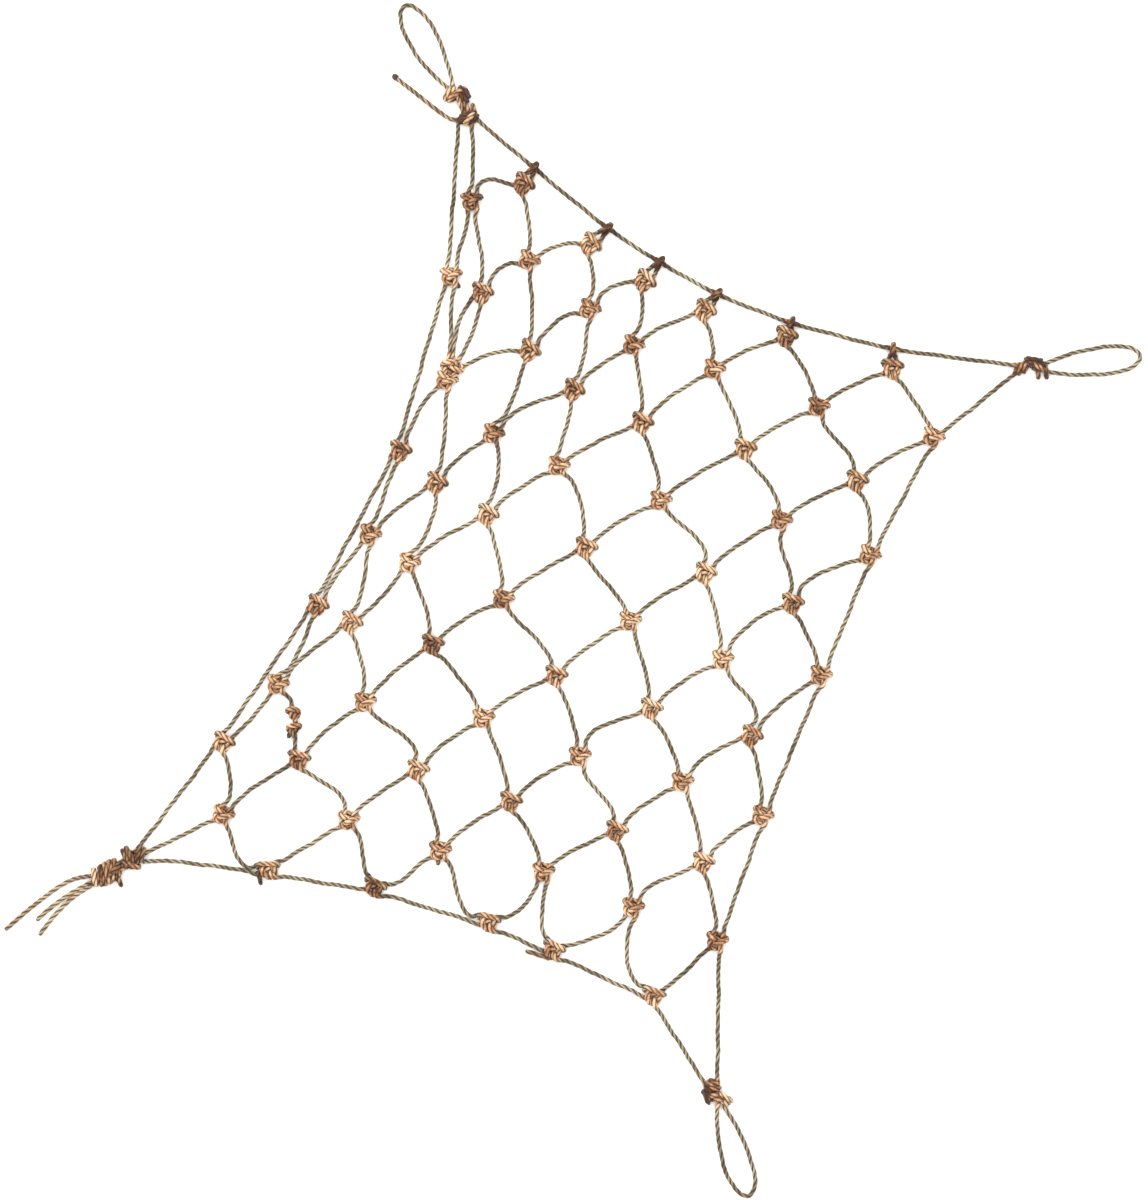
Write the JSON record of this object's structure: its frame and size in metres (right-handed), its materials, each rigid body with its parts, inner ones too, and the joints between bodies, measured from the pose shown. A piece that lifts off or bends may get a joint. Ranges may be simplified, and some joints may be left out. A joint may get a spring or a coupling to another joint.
{
  "type": "balcony safety net",
  "caption": "Hand-knotted rope safety net of diamond meshes, laid flat, with edge ropes, tied eyes at three corners and a wrapped knot with free ends at the fourth.",
  "frame": {"origin": "middle of the net's bounding box, on the surface that it lies on", "axes": "+X to the right and +Y up as the laid net is seen from above, +Z off the surface"},
  "size_m": [1.3068, 1.3744, 0.015],
  "materials": {
    "netting_twine": "twisted twine",
    "edge_rope": "twisted rope",
    "corner_knot_rope": "twisted rope, wrapped"
  },
  "bodies": {
    "root": {"netting": "netting_twine", "edge_rope_top": "edge_rope", "edge_rope_right": "edge_rope", "edge_rope_bottom": "edge_rope", "edge_rope_left": "edge_rope", "eye_top_left": "edge_rope", "eye_right": "edge_rope", "eye_bottom_right": "edge_rope", "corner_knot_top_left": "corner_knot_rope", "corner_knot_right": "corner_knot_rope", "corner_knot_bottom_right": "corner_knot_rope", "corner_knot_bottom_left": "corner_knot_rope"}
  },
  "joints": []
}
